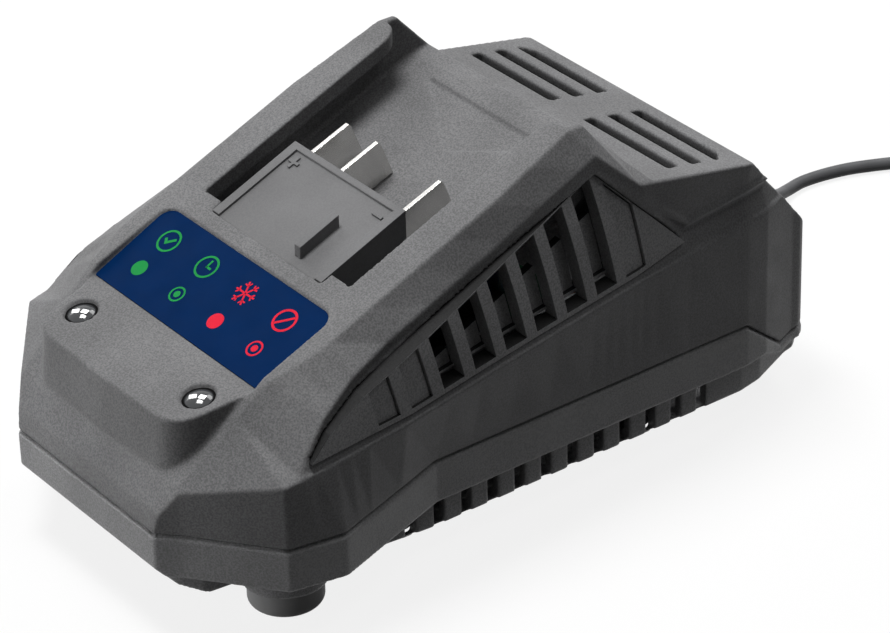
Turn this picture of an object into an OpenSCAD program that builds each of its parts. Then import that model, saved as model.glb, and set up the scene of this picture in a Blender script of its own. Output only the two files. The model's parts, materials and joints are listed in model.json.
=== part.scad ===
// Desktop battery charger for slide-in tool packs.
// Every piece is drawn with y = 0 at the front edge of the housing and z = 0 at the table,
// and centred() then moves it so that the origin lies under the middle of the housing.

/* [Housing] */
// Length from the front edge to the back wall
body_l = 188; // [185:1:194]
// Width of the flat front face
nose_w = 56; // [52:1:60]
// Width where the slanted front corners end
cheek_w = 105; // [102:1:107]
// Widest width, above the front feet
shoulder_w = 110; // [108:1:114]
// Width along the straight part of the sides
waist_w = 86; // [84:0.5:90]
// Wall thickness of both shells
wall = 2.6; // [2.2:0.1:3]
// Height of the joint between the shells
seam_z = 28; // [26.5:0.5:29.5]
// How far the joint drops at the back
seam_drop = 12; // [8:1:13]
// Width of the dark gap along the joint
seam_gap = 0.7; // [0.4:0.1:1]
// Height of the underside above the table
belly_z = 6.5; // [5.5:0.5:7.5]
// Width of the tray under the nose, below the overhanging shoulders
tray_w = 69; // [66:1:74]

/* [Battery bay] */
// Height of the rails at their highest point
peak_z = 95; // [93:0.5:97]
// Distance between the lips of the two rails
rail_gap = 57.6; // [56:0.2:59]
// Width of the undercut channel below the lips
channel_w = 69; // [67:0.5:70]
// Thickness of the lips
lip_t = 4.1; // [3.5:0.1:4.5]
// Depth of the bay floor below the top of the rails
bay_depth = 14.4; // [13.4:0.2:15]
// Where the bay begins
bay_start_y = 55.4; // [54:0.2:57]

/* [Terminals] */
// Width of the terminal block
block_w = 43.2; // [42:0.2:45]
// Length of the terminal block
block_l = 24; // [22:0.2:26]
// Distance of the outer blades from the middle
blade_x = 18; // [16:0.2:18.4]
// Distance of the data blade from the middle
data_blade_x = 6.3; // [5:0.1:8]
// Thickness of a blade
blade_t = 1.1; // [0.8:0.1:1.4]
// How far a blade stands out of the block
blade_l = 16.4; // [13:0.2:17]

/* [Label and lamps] */
// Width of the label
label_w = 66; // [60:0.5:66.4]
// Length of the label along the slope
label_l = 24; // [20:0.5:24.5]
// Thickness of the label
label_t = 0.5; // [0.3:0.1:0.8]
// Distance of the lamps from the middle
lamp_x = 24; // [20:0.5:24.5]
// Diameter of the recess around a lamp
lamp_recess_d = 8.4; // [8:0.1:9]
// Diameter of a lamp lens
lamp_d = 7; // [6:0.1:7.4]

/* [Vents] */
// Distance from one side fin to the next
fin_pitch = 9.15; // [8.4:0.05:9.2]
// Thickness of a side fin
fin_t = 2.9; // [2.4:0.1:3.4]
// Thickness of the side grille
grille_t = 4.4; // [3.6:0.1:5]
// Width of a slot in the rear deck
deck_slot_w = 3.6; // [3:0.1:4]
// Length of a slot in the rear deck
deck_slot_l = 31.4; // [28:0.2:32]
// Distance from one deck slot to the next
deck_slot_pitch = 7.2; // [6.6:0.1:7.6]
// Distance from one slot in the lower side to the next
side_slot_pitch = 7.9; // [7:0.1:8.2]
// Width of a slot in the lower side
side_slot_w = 3; // [2.4:0.1:3.6]

/* [Feet and screws] */
// Diameter of a rubber foot
foot_d = 18; // [14:0.5:19]
// Distance of the front feet from the middle
front_foot_x = 33; // [30:0.5:35]
// Distance of the rear feet from the middle
rear_foot_x = 22; // [19:0.5:24]
// Diameter of the shank of a housing screw
screw_d = 3; // [2.5:0.1:3.5]
// Distance of the housing screws from the middle
screw_x = 35; // [34:0.2:35.4]

/* [Electronics] */
// Width of the circuit board
board_w = 58; // [54:1:60]
// Length of the circuit board
board_l = 118; // [112:1:120]
// Height of the board above the table
board_z = 16; // [14.5:0.5:17]

/* [Mains cord] */
// Diameter of the cord
cord_d = 3.4; // [3:0.1:3.6]
// Length of the strain relief outside the housing
relief_l = 24; // [20:1:26]

/* [Hidden] */
$fn = 48;

fit = 0.2;                 // clearance of a piece in its opening
black = "#2a2a2b";
smooth_black = "#303032";
far = 400;                 // longer than anything it cuts

// ---- side profile: the top surface runs level across the housing ----
nose_y = 4.6;              // foot of the sloping front
cheek_y = 19.6;            // end of the slanted front corners
tip_y = 24;                // front tip of the side grilles
label_y = 27;              // the front slope ends and the rails begin
rail_slope = 0.414;        // rise of the rails for each millimetre
peak_y = 112;              // the rails stop rising
drop_y = 116.2;            // the rear slope begins
deck_y = 127.4;            // the rear deck begins
deck_z = 78.5;
deck_fall = 0.1935;        // fall of the deck for each millimetre
ramp_end_y = 131.8;        // the middle of the rear slope reaches the deck here, behind its outer edges
ramp_end_z = deck_z - deck_fall * (ramp_end_y - deck_y);
tail_y = body_l - 27;      // the sides begin to turn in
bevel_y = body_l - 25.8;   // the deck ends in the back bevel
bevel_z = deck_z - deck_fall * (bevel_y - deck_y);
bevel_angle = 49;
rail_angle = atan(rail_slope);
nose_z = 39.6;
label_z = peak_z - rail_slope * (peak_y - label_y);

function rail_z(y) = peak_z - rail_slope * (peak_y - y);
function floor_z(y) = rail_z(y) - bay_depth;

crest_line = [             // y, x, z along the top outer edge
    [0, nose_w / 2 - 1, seam_z + 3.3],
    [1.1, nose_w / 2 + 0.1, seam_z + 5.3],
    [nose_y, nose_w / 2 + 3.9, nose_z],
    [label_y, 35.2, label_z],
    [40, 38.4, rail_z(40)],
    [88, 38.4, rail_z(88)],
    [peak_y, 36.3, peak_z - 0.2],
    [drop_y, 36.3, peak_z - 0.2],
    [deck_y, 42.8, deck_z],
    [tail_y, waist_w / 2 - 0.2, deck_z - deck_fall * (tail_y - deck_y)],
    [body_l, waist_w / 2 - 0.2, deck_z - deck_fall * (body_l - deck_y)]
];
lip_line = [               // y, x, z along the lip above the lower side wall
    [0, nose_w / 2, seam_z + 3.1],
    [1.1, nose_w / 2 + 1.1, seam_z + 5],
    [nose_y, nose_w / 2 + 4.9, nose_z - 0.4],
    [cheek_y, cheek_w / 2, 44.1],
    [tip_y, cheek_w / 2 + 0.5, 44.8],
    [56, 51, 46.6],
    [84, 48.8, 50],
    [125.5, 45.6, 54.4],
    [tail_y, waist_w / 2, 56.6],
    [body_l, waist_w / 2, 56.6]
];
frame_line = [             // y, x, z along the top of the side grille, then the rear ridge
    [tip_y, 52, 45.4],
    [33, 49.6, 52.6],
    [43, 47, 57.7],
    [54, 44.8, 61.3],
    [88, 42.8, 74],
    [drop_y, 41.8, 84.3],
    [deck_y, 43.2, 73],
    [142, 43.2, 63],
    [tail_y, waist_w / 2, 65.2],
    [body_l, waist_w / 2, 66.2]
];
band_foot_line = [         // y, x, z of the foot of the upright band above the grille
    [tip_y, 51.9, 45.6],
    [33, 49, 52.9],
    [43, 46.4, 58],
    [54, 44.2, 61.6],
    [88, 42.2, 74.3],
    [drop_y, 41.3, 84.8],
    [deck_y, 42.8, 77],
    [142, 42.3, 63.7],
    [tail_y, waist_w / 2 - 0.9, 65.9],
    [body_l, waist_w / 2 - 0.9, 66.6]
];
band_head_line = [         // y, x, z of the head of that band, where the rail bevel starts
    [tip_y, 51.7, 46],
    [33, 48.9, 55],
    [43, 46.3, 60.7],
    [54, 44.1, 64.4],
    [88, 42.1, 76.8],
    [drop_y, 41.2, 88.8],
    [deck_y, 43.3, deck_z - 0.5],
    [tail_y, waist_w / 2, deck_z - deck_fall * (tail_y - deck_y) - 0.4],
    [body_l, waist_w / 2, deck_z - deck_fall * (body_l - deck_y) - 0.4]
];
cove_line = [              // y, x, z of the hollow under the rear ridge
    [tip_y, 52.1, 45.3],
    [54, 47.6, 54],
    [88, 46, 62],
    [drop_y, 44.2, 69],
    [deck_y, 44.2, 62],
    [142, 41.2, 60.6],
    [tail_y, waist_w / 2 - 2.6, 62.4],
    [body_l, waist_w / 2 - 2.6, 62.6]
];

function guide_x(line, y) = lookup(y, [for (p = line) [p[0], p[1]]]);
function guide_z(line, y) = lookup(y, [for (p = line) [p[0], p[2]]]);
function blend(a, b, t) = a + (b - a) * t;

// Half width of the housing at the joint between the shells
tail_w = 72;               // width where the back corners begin
corner_r = 7;              // plan radius of the back corners
shoulder_y = 33.6;
waist_y = 67;
corner_y = body_l - corner_r;
function corner_in(y) = corner_r - sqrt(max(0, corner_r * corner_r - pow(max(0, y - corner_y), 2)));
function seam_x(y) = lookup(y, [
    [0, nose_w / 2],
    [nose_y, nose_w / 2 + 4.9],
    [cheek_y, cheek_w / 2],
    [shoulder_y, shoulder_w / 2],
    [waist_y, waist_w / 2 + 0.6],
    [tail_y, waist_w / 2],
    [tail_y + 7, waist_w / 2 - 1.4],
    [corner_y, tail_w / 2]
]) - corner_in(y);
function seam_at(y) = lookup(y, [[tail_y, seam_z], [tail_y + 1.2 * seam_drop, seam_z - seam_drop]]);
function tail_in(y) = y > tail_y ? waist_w / 2 - seam_x(y) : 0;

// ---- lofts: sections across the housing, joined from front to back ----
front_stations = [0, 1.1, nose_y, 9, cheek_y, tip_y, 28, shoulder_y, 38, 43, 54, waist_y, 77, 88, 100, peak_y, drop_y];
deck_stations = [120, 124, deck_y, ramp_end_y, 142, tail_y];
tail_stations = [tail_y + 3.5, tail_y + 7, tail_y + 14.4, corner_y, corner_y + 3, corner_y + 5, body_l - 0.6, body_l];
stations = concat(front_stations, deck_stations, tail_stations);

// Joins equal half sections [[x, z], ...], given from bottom to top, into one solid
module loft(ys, halves) {
    n = len(halves[0]);
    m = 2 * n;
    points = [
        for (i = [0:len(ys) - 1])
            for (k = [0:m - 1])
                k < n
                    ? [halves[i][k][0], ys[i], halves[i][k][1]]
                    : [-halves[i][m - 1 - k][0], ys[i], halves[i][m - 1 - k][1]]
    ];
    last = (len(ys) - 1) * m;
    sides = [
        for (i = [0:len(ys) - 2])
            for (k = [0:m - 1])
                for (half = [0, 1])
                    let (a = i * m + k, b = i * m + (k + 1) % m)
                    half == 0 ? [a, b, a + m] : [b, b + m, a + m]
    ];
    caps = [
        for (k = [0:n - 2])
            for (cap = [[k, m - 1 - k, k + 1], [k + 1, m - 1 - k, m - 2 - k]])
                each [cap, [last + cap[0], last + cap[2], last + cap[1]]]
    ];
    polyhedron(points, concat(sides, caps), convexity = 8);
}

// Edge of the level middle of the top surface, just inside the crest
crown_rise = 0.08;
function crown_in(y) = lookup(y, [[drop_y, 1.2], [deck_y, 7.5], [ramp_end_y, 7.5], [142, 1.2]]);
function ramp_z(y) =
    y > drop_y && y < ramp_end_y
        ? blend(peak_z - 0.2, ramp_end_z, (y - drop_y) / (ramp_end_y - drop_y))
        : 0;
function crown(y, crest) = [crest[0] - crown_in(y), max(crest[1], ramp_z(y)) + crown_rise];

// Half section of the upper housing, from the joint up to the crown
tip_split = [0.03, 0.04, 0.055, 0.07, 0.09];
function upper_half(y) =
    let (
        lip = [guide_x(lip_line, y) - tail_in(y), guide_z(lip_line, y)],
        crest = [guide_x(crest_line, y) - tail_in(y), guide_z(crest_line, y)]
    )
    y <= tip_y
        ? concat(
            [[seam_x(y), seam_at(y)], lip],
            [for (k = [0:4])
                let (t = y < tip_y ? (k + 1) / 6 : tip_split[k])
                [blend(lip[0], crest[0], t), blend(lip[1], crest[1], t)]],
            [crest, crown(y, crest)]
        )
        : concat(
            [[seam_x(y), seam_at(y)], lip, [lip[0] - 0.8, lip[1] + 0.2]],
            [for (line = [cove_line, frame_line, band_foot_line, band_head_line])
                [guide_x(line, y) - tail_in(y), guide_z(line, y)]],
            [crest, crown(y, crest)]
        );

module upper_form() loft(stations, [for (y = stations) upper_half(y)]);

// Hollow of the upper housing, a wall inside the outer form and below the bay floor
cavity_stations = [nose_y + wall, 14, cheek_y, tip_y, shoulder_y, 43, 52, 54, waist_y, 88, 110, 122, 130, tail_y,
    tail_y + 7, body_l - 2 * wall];
function roof_z(y) = lookup(y, [
    [nose_y + wall, nose_z - wall],
    [14, nose_z + 1],
    [20, nose_z + 6.8],
    [label_y, label_z - 2 * wall],
    [52, floor_z(58) - wall],
    [54, floor_z(54) - wall],
    [122, floor_z(122) - wall],
    [130, deck_z - wall - 1],
    [bevel_y - 1, bevel_z - wall],
    [body_l - 2 * wall, bevel_z - 26]
]);
function cavity_half(y) =
    let (
        lip_x = guide_x(lip_line, y) - tail_in(y) - wall - 0.8,
        roof_x = min(guide_x(band_head_line, max(y, tip_y)) - wall - grille_t, y < 54 ? 33 : 38.5) - tail_in(y),
        roof = roof_z(y)
    )
    [
        [seam_x(y) - wall, seam_at(y) - 1],
        [min(lip_x, y < cheek_y ? seam_x(y) - wall : lip_x), min(guide_z(lip_line, y), roof - 2)],
        [min(roof_x, lip_x - 0.5), roof]
    ];

module cavity() loft(cavity_stations, [for (y = cavity_stations) cavity_half(y)]);

// Half section of the lower housing
function belly_in(y) = lookup(y, [[nose_y, 8], [cheek_y, 7], [shoulder_y, 4.6]]);
function belly_rise(y) = lookup(y, [[nose_y, 6], [9, 4.8], [cheek_y, 4.4], [shoulder_y + 6, 2.2]]);
skirt_in = 2.4;            // how far the slotted part is set in
skirt_z = 16.4;            // top of the slotted part
rim_out = 0.3;             // the lower rim stands proud of the upper wall
function tray_x(y) = min(seam_x(y) + rim_out - skirt_in, lookup(y, [
    [9, tray_w / 2 - 0.5], [cheek_y, tray_w / 2], [shoulder_y, tray_w / 2 + 4], [waist_y, waist_w / 2 - 1.5]
]));
function lower_half(y) =
    let (x = seam_x(y) + rim_out, tray = tray_x(y), top = seam_at(y))
    [
        [tray - belly_in(y), belly_z],
        [tray, belly_z + belly_rise(y)],
        [tray, min(skirt_z, top - 3.6)],
        [x, min(skirt_z + 0.5, top - 3)],
        [x, top - seam_gap - 0.1],
        [x - rim_out - 1.1, top - seam_gap],
        [x - rim_out - 1.1, top]
    ];
function lower_cavity_half(y) =
    let (x = seam_x(y) - wall, tray = tray_x(y) - wall, top = seam_at(y))
    [
        [tray - belly_in(y) + 2, belly_z + wall],
        [tray, belly_z + belly_rise(y) + wall - 0.6],
        [tray, min(skirt_z + 1.5, top - 3.2)],
        [x, min(skirt_z + 2.4, top - 2)],
        [x, top + 1]
    ];
lower_cavity_stations = [15, cheek_y, shoulder_y, waist_y, tail_y, tail_y + 7, tail_y + 14.4, corner_y];

module centred() translate([0, -body_l / 2, 0]) children();
module both_sides() {
    children();
    mirror([1, 0, 0]) children();
}
// A plate across the housing from a profile in the y-z plane
module across(half_w) rotate([90, 0, 90]) translate([0, 0, -half_w]) linear_extrude(2 * half_w) children();

// ---- top shell ----
// Front pod that carries the lamps
pod_y = 6.2;               // front of the pod at its top
pod_corner_r = 8;
pod_corner_x = 22.3;
pod_flare_x = 33;          // half width at the back
pod_lamp_y = 16.7;         // the pod top is level with lamp_z here
lamp_z = 55.7;
pod_slope = 0.1923;
pod_tilt = atan(pod_slope);
function pod_top_z(y) = lamp_z + pod_slope * (y - pod_lamp_y);
module pod_plan() {
    arc_y = pod_y + 0.4 + pod_corner_r;
    polygon(concat(
        [[-pod_flare_x, label_y], [pod_flare_x, label_y]],
        [for (a = [-14:-12.5:-89]) [pod_corner_x + pod_corner_r * cos(a), arc_y + pod_corner_r * sin(a)]],
        [[0, pod_y]],
        [for (a = [-89:12.5:-14]) [-pod_corner_x - pod_corner_r * cos(a), arc_y + pod_corner_r * sin(a)]]
    ));
}
pod_lean = 5.7;            // the pod walls lean back
module pod() {
    intersection() {
        translate([0, 0, lamp_z - 2]) rotate([-pod_lean, 0, 0]) translate([0, 0, -20]) linear_extrude(30) pod_plan();
        across(40) polygon([
            [2, nose_z - 4], [2, pod_top_z(2)], [label_y, pod_top_z(label_y)], [label_y, nose_z - 4]
        ]);
    }
}
// Room for the lamp board inside the pod
pocket_y = pod_y + 4.4;
pocket_l = 13;
module pod_pocket() {
    translate([-27, pocket_y, nose_z - 3]) cube([54, pocket_l, 14.4]);
}
// Clears the foot of the rail slope above the pod top
module pod_clearance() {
    across(pod_flare_x) polygon([
        [18, pod_top_z(18)], [label_y - 0.4, pod_top_z(label_y - 0.4)], [label_y - 0.4, 75], [18, 75]
    ]);
}
// Axis of a lamp, square to the pod top
module at_lamp(side) translate([side * lamp_x, pod_lamp_y, lamp_z]) rotate([pod_tilt, 0, 0]) children();

// Places children on the sloping line of the rails, x across, y up the slope, z square to it
module on_rails(y, depth) translate([0, y, rail_z(y) - depth]) rotate([rail_angle, 0, 0]) children();

lip_end_y = peak_y + 1;
lip_end_r = 5;             // rounding of the ends of the lips
ridge_y = drop_y + 4.4;    // the bay floor ends in a narrow strip along the ridge
module bay() {
    lip_h = lip_t / cos(rail_angle);
    across(rail_gap / 2) polygon([
        [bay_start_y, floor_z(bay_start_y)], [150, floor_z(150)], [150, 130], [bay_start_y, 130]
    ]);
    across(channel_w / 2) polygon([
        [bay_start_y, floor_z(bay_start_y)], [lip_end_y + 1, floor_z(lip_end_y + 1)],
        [lip_end_y + 1, rail_z(lip_end_y + 1) - lip_h], [bay_start_y, rail_z(bay_start_y) - lip_h]
    ]);
    // open end behind the lips
    across(channel_w / 2) polygon([
        [lip_end_y, floor_z(lip_end_y)], [150, floor_z(150)], [150, 130], [lip_end_y, 130]
    ]);
    both_sides() translate([rail_gap / 2, lip_end_y - lip_end_r, peak_z - 9]) linear_extrude(20) difference() {
        translate([-1, 0]) square([lip_end_r + 1, lip_end_r + 0.5]);
        translate([lip_end_r, 0]) circle(lip_end_r);
    }
    across(channel_w / 2) polygon([
        [ridge_y, floor_z(ridge_y)], [ridge_y + 8, floor_z(ridge_y) + 1], [ridge_y + 8, 130], [ridge_y, 130]
    ]);
}
// Arrow pressed into the bay floor, pointing to the terminals
module floor_arrow() {
    on_rails(104, bay_depth) translate([0, 0, -0.6]) linear_extrude(2) polygon([[0, 0], [24.9, 14.6], [-24.9, 14.6]]);
}
// Pocket that the label lies in
label_rise = 0.4804;
label_angle = atan(label_rise);
label_front_z = pod_top_z(label_y - 0.4) + 0.1;
module on_label() translate([0, label_y - 0.4, label_front_z]) rotate([label_angle, 0, 0]) children();
module label_outline(grow) {
    r = 4;
    w = label_w / 2 + grow;
    l = label_l + grow;
    union() {
        translate([-w, -grow]) square([2 * w, l + grow - r]);
        translate([-w + r, -grow]) square([2 * (w - r), l + grow]);
        for (side = [-1, 1]) translate([side * (w - r), l - r]) circle(r);
    }
}
// Deck slots in two groups of three
deck_slot_x = 6.3;
deck_slot_y = bevel_y - 22.2;
module deck_slots() {
    for (i = [0:2])
        both_sides() translate([deck_slot_x, deck_slot_y + i * deck_slot_pitch, 60]) {
            cut = i == 2 ? 2.4 : 0.01;
            linear_extrude(30) polygon([
                [0, 0], [deck_slot_l, 0], [deck_slot_l, deck_slot_w - cut],
                [deck_slot_l - 1.4 * cut, deck_slot_w], [0, deck_slot_w]
            ]);
        }
}

screw_ys = [62, bevel_y - 29.2];
boss_r = 3.6;
module screw_places() {
    for (y = screw_ys)
        both_sides() translate([screw_x, y, 0]) children();
}

module top_shell() color(black) centred() {
    difference() {
        union() {
            difference() {
                union() {
                    difference() {
                        upper_form();
                        // leaning front face
                        across(80) polygon([
                            [-1, seam_z - 0.5], [-0.1, seam_z - 0.5], [1.4, seam_z + 6.75], [1.4, 40], [-1, 40]
                        ]);
                    }
                    pod();
                }
                cavity();
                pod_pocket();
            }
            intersection() {
                screw_places() translate([0, 0, seam_z + 0.3]) cylinder(r = boss_r, h = 46);
                across(60) polygon([
                    [50, seam_z], [50, floor_z(50) - 1], [122, floor_z(122) - 1], [132, deck_z - 3],
                    [bevel_y, bevel_z - 1], [bevel_y, seam_z]
                ]);
            }
            for (side = [-1, 1]) translate([side * 15, pod_lamp_y, lamp_board_z + lamp_board_t]) cylinder(r = 2.4, h = 12);
        }
        pod_clearance();
        bay();
        floor_arrow();
        on_label() translate([0, 0, -label_t]) linear_extrude(20) label_outline(fit / 2);
        terminal_opening();
        deck_slots();
        for (side = [-1, 1]) {
            at_lamp(side) translate([0, 0, -1]) cylinder(d = lamp_recess_d, h = 6);
            at_lamp(side) translate([0, 0, -16]) cylinder(d = lamp_d + fit, h = 20);
        }
        both_sides() grille_window();
        // back bevel
        translate([-far / 2, bevel_y, bevel_z]) rotate([-bevel_angle, 0, 0]) cube([far, far, far]);
        screw_places() translate([0, 0, seam_z]) cylinder(d = screw_d - 0.5, h = 14);
        relief_hole();
    }
}

// ---- bottom shell ----
side_slot_n = 12;
side_slot_y = 61.4;
front_foot_y = 31.4;
rear_foot_y = body_l - 26;
foot_sink = 1.5;           // depth of the pocket that a foot sits in
module foot_places() {
    for (side = [-1, 1]) {
        translate([side * front_foot_x, front_foot_y, 0]) children();
        translate([side * rear_foot_x, rear_foot_y, 0]) children();
    }
}
board_post_x = board_w / 2 - 4;
board_y = 30;
board_post_ys = [board_y + 6, board_y + board_l - 6];
module bottom_shell() color(black) centred() {
    difference() {
        union() {
            difference() {
                union() {
                    loft(stations, [for (y = stations) lower_half(y)]);
                    // round bosses that carry the front feet beside the tray
                    for (side = [-1, 1])
                        translate([side * front_foot_x, front_foot_y, belly_z + 0.01])
                            cylinder(d = foot_d + 2.8, h = skirt_z - belly_z + 0.3);
                }
                loft(lower_cavity_stations, [for (y = lower_cavity_stations) lower_cavity_half(y)]);
            }
            screw_places() translate([0, 0, belly_z]) cylinder(r = boss_r, h = seam_z - belly_z);
            for (y = board_post_ys, side = [-1, 1])
                translate([side * board_post_x, y, belly_z]) cylinder(r = 3, h = board_z - belly_z);
        }
        // chamfers under the front and the back
        across(80) polygon([
            [-2, seam_z - 0.1], [-0.2, seam_z - 0.1], [-0.1, 18.8], [4.4, 13.9], [10.6, 11], [13.6, belly_z - 0.2],
            [13.6, 0], [-2, 0]
        ]);
        across(80) polygon([
            [body_l + 1, 13.2], [body_l - 3, belly_z + 1.4], [body_l - 4.8, belly_z - 0.2],
            [body_l - 4.8, 0], [body_l + 1, 0]
        ]);
        // joint gap across the front and the back
        translate([-far / 2, -5, seam_z - seam_gap]) cube([far, 6.1, 5]);
        translate([-far / 2, body_l - 1.1, seam_z - seam_drop - seam_gap]) cube([far, 6, 5]);
        for (i = [0:side_slot_n - 1])
            both_sides() translate([waist_w / 2 - 10, side_slot_y + i * side_slot_pitch - side_slot_w / 2, belly_z + 1.6])
                cube([14, side_slot_w, skirt_z - belly_z - 1.8]);
        foot_places() translate([0, 0, belly_z - 2]) cylinder(d = foot_d + fit, h = 2 + foot_sink);
        screw_places() {
            translate([0, 0, belly_z - 1]) cylinder(d = screw_d + 3.4, h = 5);
            translate([0, 0, belly_z]) cylinder(d = screw_d + 0.4, h = seam_z);
        }
        relief_hole();
    }
}

// ---- side vent grilles: curved inserts in the triangular windows ----
grille_turn = atan((cheek_w / 2 + 0.5 - waist_w / 2) / (tail_y - tip_y));
grille_rise = 5;           // slope of the lip that the insert stands on
grille_r = 136;            // radius of the convex outer face
grille_foot_tilt = 4;      // lean of that face at its foot
grille_ledge = 2.2;        // width of the ledge that the insert rests on
// y, z outline of the insert seen from the side
grille_outline = [
    [tip_y + 3, 47.2], [33, 52.4], [43, 57.5], [54, 61.1], [88, 73.8], [drop_y - 0.5, 84.1],
    [140.4, 59], [125.5, 56.1], [84, 51.6], [56, 48.2]
];
module grille_area(grow) {
    offset(delta = grow) polygon(grille_outline);
}
// Prism of the outline along x, from x0 outward
module grille_prism(grow, x0) translate([x0, 0, 0]) rotate([90, 0, 90]) linear_extrude(60 - x0) grille_area(grow);

// Solid of the convex face, moved inward by depth
module grille_barrel(depth) {
    translate([cheek_w / 2 + 0.5 - 0.3, tip_y, 44.8])
        rotate([0, 0, grille_turn])
            rotate([grille_rise, 0, 0])
                translate([-depth - grille_r * cos(grille_foot_tilt), -20, -grille_r * sin(grille_foot_tilt)])
                    rotate([-90, 0, 0])
                        cylinder(r = grille_r, h = 180, $fn = 180);
}
fin_y = 61.4;              // middle of the first tall fin at the top of the grille
function fin_lean(i) = 11.5 - 0.55 * i;    // the fins at the back stand more upright
open_gaps = [0, 1, 2, 3, 4, 5];
closed_gaps = [-2, -1, 6];
rail_top = 0.3;            // narrow strip above the gaps
rail_foot = 1.2;           // wider strip below them
panel_sink = 0.8;          // the closed panels lie below the fins
panel_groove = 0.35;
baffle_sink = 4.8;         // the baffles stand behind the fins
baffle_t = 2;
// Everything between fin i and fin i + 1, inset from both fins
module fin_gap(i, inset) {
    y = fin_y + i * fin_pitch;
    translate([0, y, guide_z(frame_line, y)])
        rotate([fin_lean(i), 0, 0])
            translate([0, fin_t / 2 + inset, -60]) cube([80, fin_pitch - fin_t - 2 * inset, 80]);
}
// Area of the gaps, with the strips above and below left standing
module gap_prism(inset, foot) {
    translate([10, 0, 0]) rotate([90, 0, 90]) linear_extrude(50) intersection() {
        grille_area(-rail_top - inset);
        translate([0, foot]) grille_area(0);
    }
}
module grille_shell(from_depth, to_depth) {
    difference() {
        grille_barrel(from_depth);
        grille_barrel(to_depth);
    }
}
module vent_grille() {
    difference() {
        intersection() {
            grille_prism(0, channel_w / 2 + 1.6);
            grille_shell(0, grille_t);
        }
        intersection() {
            gap_prism(0, rail_foot);
            for (i = concat(closed_gaps, open_gaps)) fin_gap(i, 0);
        }
    }
    // closed panels at both ends
    intersection() {
        gap_prism(panel_groove, rail_foot - 0.5);
        grille_shell(panel_sink, grille_t - 0.01);
        for (i = closed_gaps) fin_gap(i, panel_groove);
    }
    // baffles behind the gaps, standing on a shelf
    intersection() {
        grille_prism(-grille_ledge - fit, channel_w / 2 + 2);
        grille_shell(grille_t - 0.8, baffle_sink + baffle_t);
        union() {
            intersection() {
                grille_barrel(baffle_sink);
                for (i = open_gaps) fin_gap(i, 0);
                across(80) polygon([[60, 40], [60, 53], [88, 63], [116, 73], [126, 66], [134, 56], [134, 40]]);
            }
            across(80) polygon([[60, 40], [60, 51.6], [84, 54.8], [125, 59.3], [134, 60], [134, 40]]);
        }
    }
}
module grille_window() {
    difference() {
        grille_prism(fit, channel_w / 2 + 1.6);
        grille_barrel(grille_t + 0.1);
    }
    grille_prism(-grille_ledge, channel_w / 2 + 1.6);
}
module right_vent_grille() color(black) centred() vent_grille();
module left_vent_grille() color(black) centred() mirror([1, 0, 0]) vent_grille();

// ---- label and lamps ----
module status_label() color("#002450") centred() {
    on_label() translate([0, 0, -label_t]) linear_extrude(label_t) label_outline(0);
}
lamp_board_z = 40;
lamp_board_t = 1.6;
module lamp_lens(side) {
    at_lamp(side) {
        translate([0, 0, -9]) cylinder(d = lamp_d, h = 8);
        translate([0, 0, -1.001]) cylinder(d = lamp_d, h = 0.6);
        translate([0, 0, -0.5]) intersection() {
            translate([0, 0, -4.6]) sphere(r = 5.9, $fn = 64);
            translate([0, 0, -0.2]) cylinder(d = lamp_d, h = 6);
        }
    }
}
module left_lamp_lens() color("#20242a") centred() lamp_lens(-1);
module right_lamp_lens() color("#20242a") centred() lamp_lens(1);
module lamp_board() color("#1d5a33") centred() {
    translate([-26.5, pocket_y + 0.5, lamp_board_z]) cube([53, pocket_l - 1, lamp_board_t]);
}
module status_lamps() color("#d8e0d0") centred() {
    for (side = [-1, 1]) translate([side * lamp_x, pod_lamp_y + 1, lamp_board_z + lamp_board_t]) {
        cylinder(d = 3, h = 2.4);
        translate([0, 0, 2.4]) sphere(d = 3);
    }
}

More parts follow.
